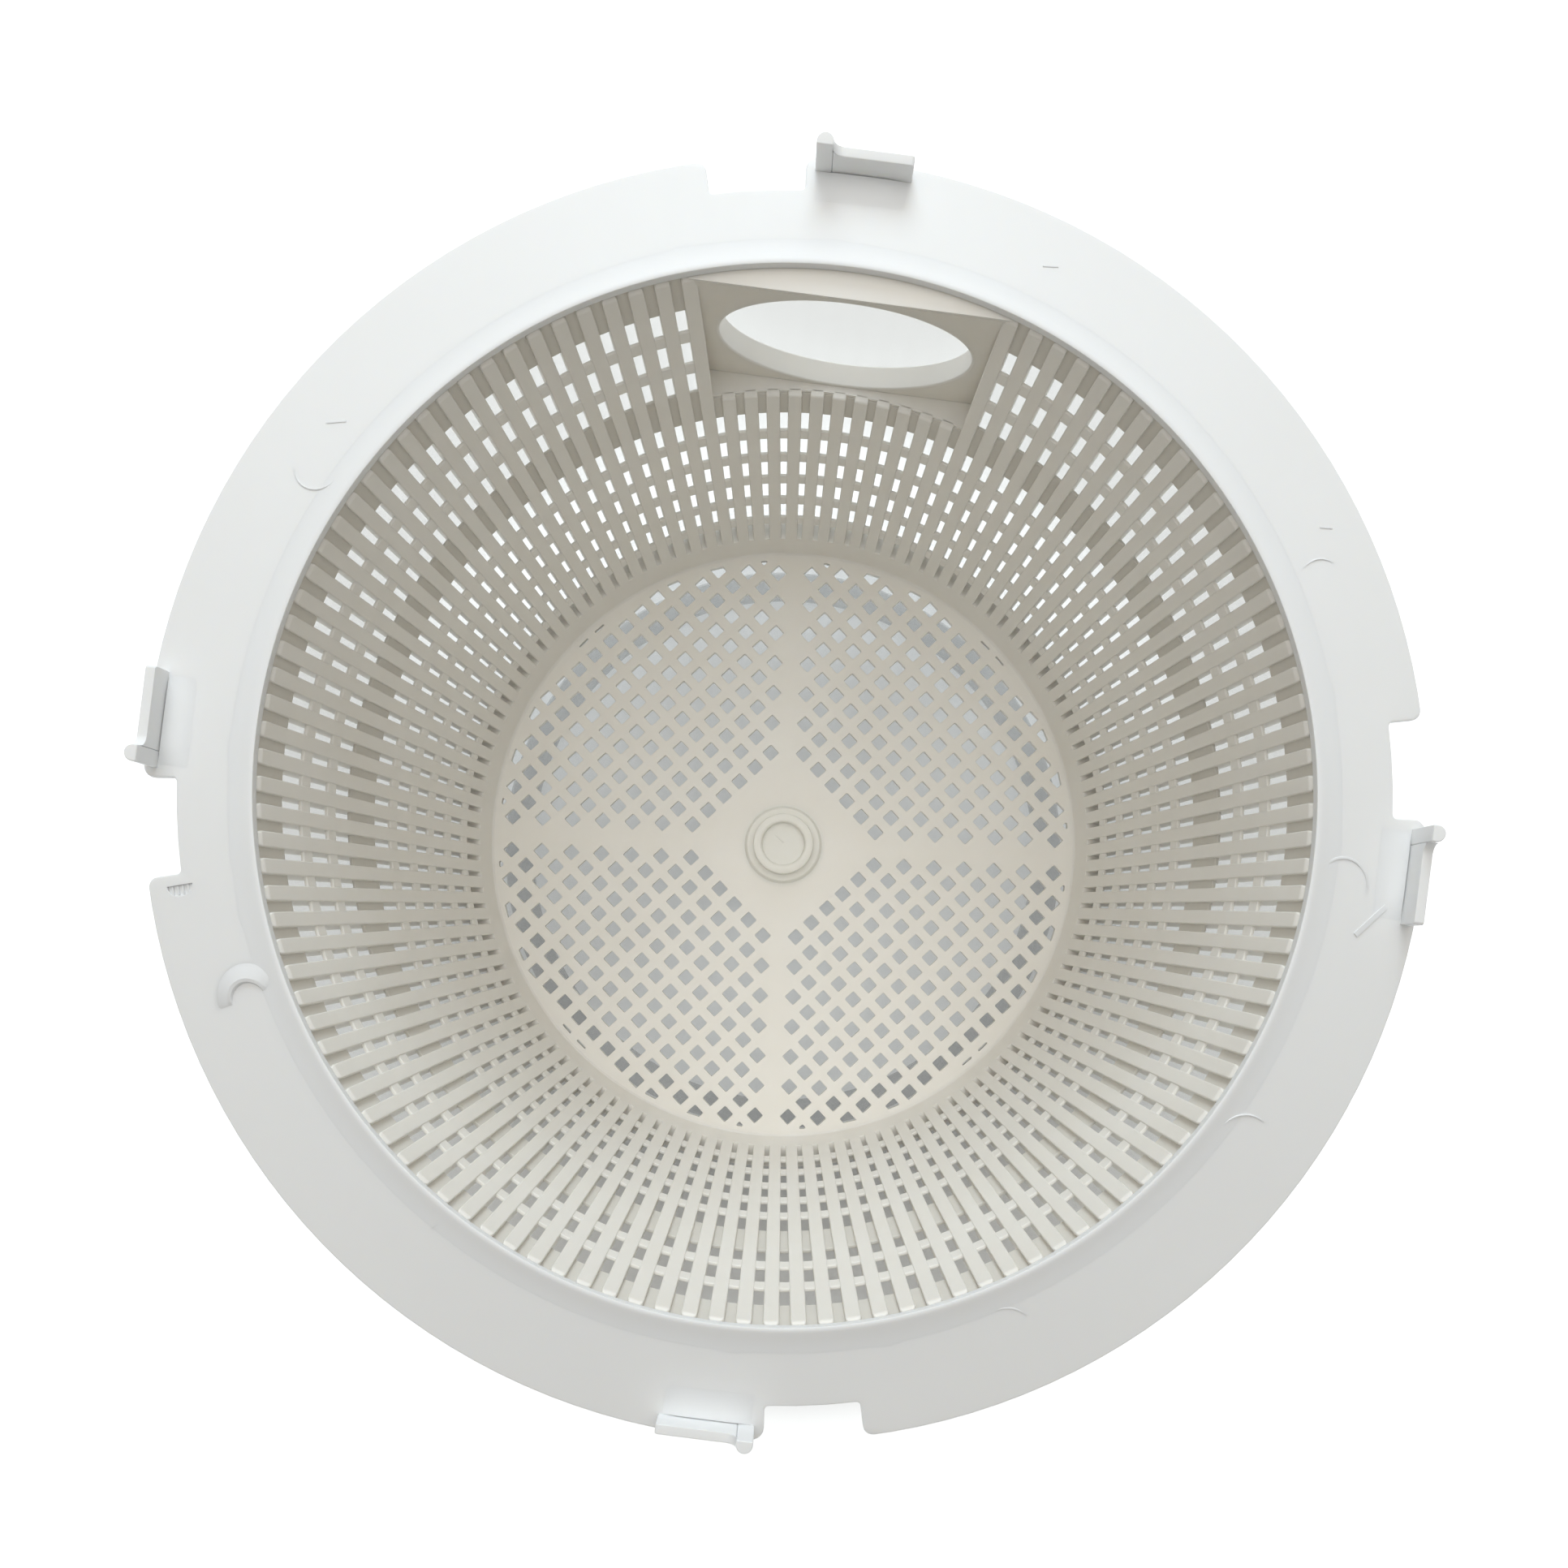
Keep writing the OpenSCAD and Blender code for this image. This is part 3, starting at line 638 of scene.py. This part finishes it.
# ---------------------------------------------------------------- rails and stops
RAMP_W, RAMP_H = 7.0, 0.55
RAMP_GAP = 0.25  # between a ramp and its rail
rail_z = collar_z(RAIL_R)
body_l = RAIL_L - STOP_W
profile = [(0, -ROOT), (body_l, -ROOT), (body_l, RAIL_H + COVE)]
profile += [(body_l - COVE + COVE * math.cos(a), RAIL_H + COVE + COVE * math.sin(a))
            for a in [-math.pi / 2 * k / 6 for k in range(1, 7)]]
profile += [(0.7, RAIL_H), (0.2, RAIL_H - 0.2), (0, RAIL_H - 0.7)]


def ramp_loops():
    """Sections of the soft rise of the collar along a rail's inner face."""
    made = []
    for k in range(17):
        y = (RAIL_L / 2 - 0.8) * (k / 8 - 1)
        lift = RAMP_H * min(1.0, 1.6 * math.sin(math.pi * k / 16))
        row = [(x, lift * ((x + RAMP_W) / (RAMP_W - RAMP_GAP)) ** 1.4)
               for x in (-RAMP_W, -5.5, -4.0, -2.5, -1.2, -RAMP_GAP)]
        row += [(-RAMP_GAP, -0.8), (-RAMP_W, -0.4)]
        made.append([(RAIL_R + x, y, collar_z(math.hypot(RAIL_R + x, y)) - 0.01 + h) for x, h in row])
    return made


stop_r = STOP_W / 2
plan = [(0, -stop_r), (STOP_T - stop_r, -stop_r)]
plan += [(STOP_T - stop_r + stop_r * math.cos(a), stop_r * math.sin(a))
         for a in [math.radians(-75 + 15 * k) for k in range(11)]]
plan += [(STOP_T - stop_r, stop_r), (0, stop_r)]
plan = rounded(plan, [0.3, 0] + [0] * 11 + [0, 0.3], 2)
stop_levels = [(0, -1.6), (0, STOP_H - 0.45), (0.08, STOP_H - 0.16), (0.27, STOP_H - 0.02)]

rails, stops = Part(), Part()
for q in QUARTERS:
    face = turned(q + RAIL_MID)
    rails.block(profile, 0, RAIL_T, 0.25, face @ Matrix.Translation((RAIL_R, -RAIL_L / 2, rail_z))
                @ Matrix(((0, 0, 1, 0), (1, 0, 0, 0), (0, 1, 0, 0), (0, 0, 0, 1))))
    rails.rings(ramp_loops(), face)
    loops = [[(x, y, rail_z + z) for x, y in grown(plan, -ins)] for ins, z in stop_levels]
    stops.rings(loops, face @ Matrix.Translation((RAIL_R, RAIL_L / 2 - stop_r, 0)))
rails.done("bayonet_rails_v", collar_mat, "basket", "collar_plastic", ["bayonet_rails"], sharp=45)
stops.done("rail_stops_v", collar_mat, "basket", "collar_plastic", ["rail_stops"], sharp=45)

# ---------------------------------------------------------------- outer bowl and its pivot
SPLIT_Z = 17.0  # where the bowl's wall meets its base
BOWL_WALL = 2.2
RIM_UNDER = 152


def bowl_r(z):
    return 101 + 22.5 * (z - 5) / RIM_UNDER


side_z = [SPLIT_Z, 60.0, 110.0]
wall = Part()
wall.lathe([(bowl_r(z), z) for z in side_z]
           + [(bowl_r(156.5), 156.5), (123.9, 156.95), (124.6, 157.0), (126.2, 157.0), (127.0, 156.6),
              (127.4, 156.0), (127.5, 155.2), (127.3, 154.3), (126.7, 153.6),
              (bowl_r(RIM_UNDER) + 2.3, 153.0)]
           + [(bowl_r(z) + BOWL_WALL, z) for z in reversed(side_z)])
wall.done("bowl_wall_v", bowl_mat, "bowl", "clear_plastic", ["bowl_wall"], sharp=45)

CORNER_IN, CORNER_OUT = 12, 14.2
corner_r = bowl_r(SPLIT_Z) - CORNER_IN
quarter_turn = [math.pi / 2 * k / 12 for k in range(13)]
dish = Part()
dish.lathe([(4.1, 8.0), (14.8, 8.0), (20.8, 2.0)]
           + [(corner_r + CORNER_OUT * math.sin(a), SPLIT_Z - 15 * math.cos(a)) for a in quarter_turn]
           + [(corner_r + CORNER_IN * math.sin(a), SPLIT_Z - CORNER_IN * math.cos(a))
              for a in reversed(quarter_turn)]
           + [(23.0, 5.0), (17.0, 11.0), (4.1, 11.0)])
dish.done("bowl_base_v", bowl_mat, "bowl", "clear_plastic", ["bowl_base"], sharp=45)

foot = Part()
foot.lathe(rounded([(79, 0.01), (88, 0.01), (88, 2), (79, 2)], 0.5, 3))
foot.done("foot_ring_v", rubber_mat, "bowl", "foot_rubber", ["foot_ring"])

# the small turned pieces keep their CAD meshes, with softened edges
CAD_LOOKS = [("pivot_pin", steel_mat, "steel"), ("pivot_seal", seal_mat, "seal_rubber"),
             ("pivot_nut", steel_mat, "steel"), ("thrust_washer", brass_mat, "brass"),
             ("hub_sleeve", hub_mat, "hub_plastic")]
for name, mat, slot in CAD_LOOKS:
    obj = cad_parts[name]
    obj.data.materials.clear()
    obj.data.materials.append(mat)
    weld = obj.modifiers.new("weld", "WELD")
    weld.merge_threshold = 0.01 * MM
    soft = obj.modifiers.new("edges", "BEVEL")
    soft.width = 0.15 * MM
    soft.segments = EDGE_STEPS
    soft.limit_method = "ANGLE"
    soft.angle_limit = math.radians(40)
    obj.modifiers.new("normals", "WEIGHTED_NORMAL")

# ---------------------------------------------------------------- stage and light
STAGE_HALF = 60
stage_mesh = bpy.data.meshes.new("stage_floor")
stage_mesh.from_pydata([(x, y, 0) for x, y in oblong(STAGE_HALF, STAGE_HALF)], [], [(0, 1, 2, 3)])
stage = bpy.data.objects.new("stage_floor", stage_mesh)
scene.collection.objects.link(stage)
stage_mat = bpy.data.materials.new("stage_paper_painted_glow")
stage_mat.use_nodes = True
tree = stage_mat.node_tree
paper = tree.nodes["Principled BSDF"]
grain = node(tree, "ShaderNodeTexNoise", Scale=9.0, Detail=5.0)
where = tree.nodes.new("ShaderNodeTexCoord")
tree.links.new(where.outputs["Object"], grain.inputs["Vector"])
tint = tree.nodes.new("ShaderNodeValToRGB")
tint.color_ramp.elements[0].color = (0.90, 0.90, 0.90, 1)
tint.color_ramp.elements[1].color = (0.93, 0.93, 0.93, 1)
tree.links.new(grain.outputs["Fac"], tint.inputs[0])
tree.links.new(tint.outputs[0], paper.inputs["Base Color"])
paper.inputs["Roughness"].default_value = 0.9
paper.inputs["Specular IOR Level"].default_value = 0.1
# the paper's emission, shaped below, is painted light
paper.inputs["Emission Color"].default_value = (0.93, 0.97, 1, 1)


def fade(source, start, end, low, high):
    """Maps a value smoothly from one span to another."""
    made = tree.nodes.new("ShaderNodeMapRange")
    made.interpolation_type = "SMOOTHSTEP"
    for key, value in {"From Min": start, "From Max": end, "To Min": low, "To Max": high}.items():
        made.inputs[key].default_value = value
    tree.links.new(source, made.inputs["Value"])
    return made.outputs[0]


def spread_from(centre):
    """The distance on the floor from a point."""
    made = tree.nodes.new("ShaderNodeVectorMath")
    made.operation = "DISTANCE"
    made.inputs[1].default_value = centre
    tree.links.new(where.outputs["Object"], made.inputs[0])
    return made.outputs["Value"]


def joined(kind, a, b):
    made = tree.nodes.new("ShaderNodeMath")
    made.operation = kind
    tree.links.new(a, made.inputs[0])
    tree.links.new(b, made.inputs[1])
    return made.outputs[0]


# the paper glows with painted light: bright round the object, a painted fill behind it that evens out
# its shadow there, painted light under the middle of the basket's floor, and close in front of it the
# paper is left in shade
split = tree.nodes.new("ShaderNodeSeparateXYZ")
tree.links.new(where.outputs["Object"], split.inputs[0])
middle = spread_from((0, 0, 0))
painted_light_around = fade(spread_from((0, 0.016, 0)), 0.172, 0.203, 0.0, 0.62)
painted_fill_behind = joined("MULTIPLY", fade(split.outputs["Y"], 0.015, 0.085, 0.0, 1.0),
                fade(middle, 0.115, 0.155, 0.52, 0.06))
painted_fill_behind = joined("MULTIPLY", painted_fill_behind, fade(middle, 0.090, 0.100, 0.0, 1.0))
painted_light_beneath = fade(middle, 0.086, 0.098, 0.22, 0.0)
painted_glow = joined("MAXIMUM", joined("MAXIMUM", painted_light_around, painted_fill_behind), painted_light_beneath)
tree.links.new(painted_glow, paper.inputs["Emission Strength"])
stage_mesh.materials.append(stage_mat)


def area(name, place, size, power, colour):
    """A round soft light aimed at the object."""
    data = bpy.data.lights.new(name, "AREA")
    data.shape = "DISK"
    data.size = size
    data.energy = power
    data.color = colour
    lamp = bpy.data.objects.new(name, data)
    scene.collection.objects.link(lamp)
    lamp.location = place
    lamp.rotation_mode = "QUATERNION"
    lamp.rotation_quaternion = (AIM - Vector(place)).to_track_quat("-Z", "Y")
    lamp.visible_camera = False


AIM = Vector((0, 0, 0.1))
area("key", (-0.1, 2.0, 1.15), 1.3, 24.0, (0.84, 0.935, 1.0))
area("top", (-0.05, 0.4, 1.55), 2.0, 14.3, (1.0, 0.983, 0.945))

world = bpy.data.worlds.new("studio")
scene.world = world
world.use_nodes = True
sky = world.node_tree.nodes["Background"]
sky.inputs["Color"].default_value = (1.0, 0.96, 0.885, 1)
sky.inputs["Strength"].default_value = 0.25
scene.view_settings.view_transform = "Standard"
scene.view_settings.look = "None"
